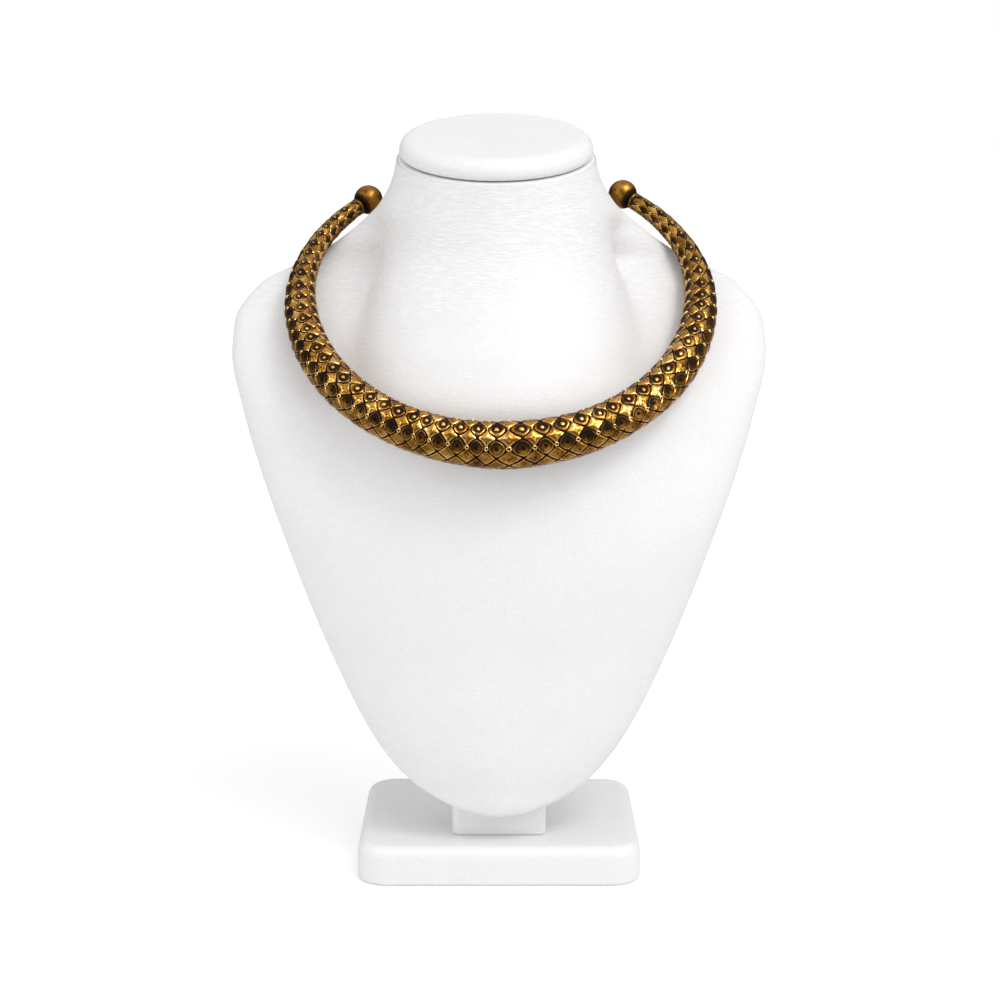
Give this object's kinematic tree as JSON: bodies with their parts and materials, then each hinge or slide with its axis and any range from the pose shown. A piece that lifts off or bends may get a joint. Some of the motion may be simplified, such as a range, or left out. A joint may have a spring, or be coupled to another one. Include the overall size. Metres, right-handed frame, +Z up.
{
  "type": "collar choker necklace on a display neck bust",
  "caption": "Open tapered collar choker with a cast diamond relief and ball ends, resting on a plain display neck bust.",
  "frame": {"origin": "centre of the base block's underside", "axes": "+Z up, the front of the bust and collar faces -Y, +X to the right as seen from the front"},
  "size_m": [0.1954, 0.119, 0.2726],
  "materials": {
    "antique_brass": "antiqued, dark in the recesses",
    "white_leatherette": "matt fine grain"
  },
  "bodies": {
    "root": {"collar_tube": "antique_brass", "finial_left": "antique_brass", "finial_right": "antique_brass", "bust_torso": "white_leatherette", "neck_cap": "white_leatherette", "post": "white_leatherette", "base_block": "white_leatherette"}
  },
  "joints": []
}
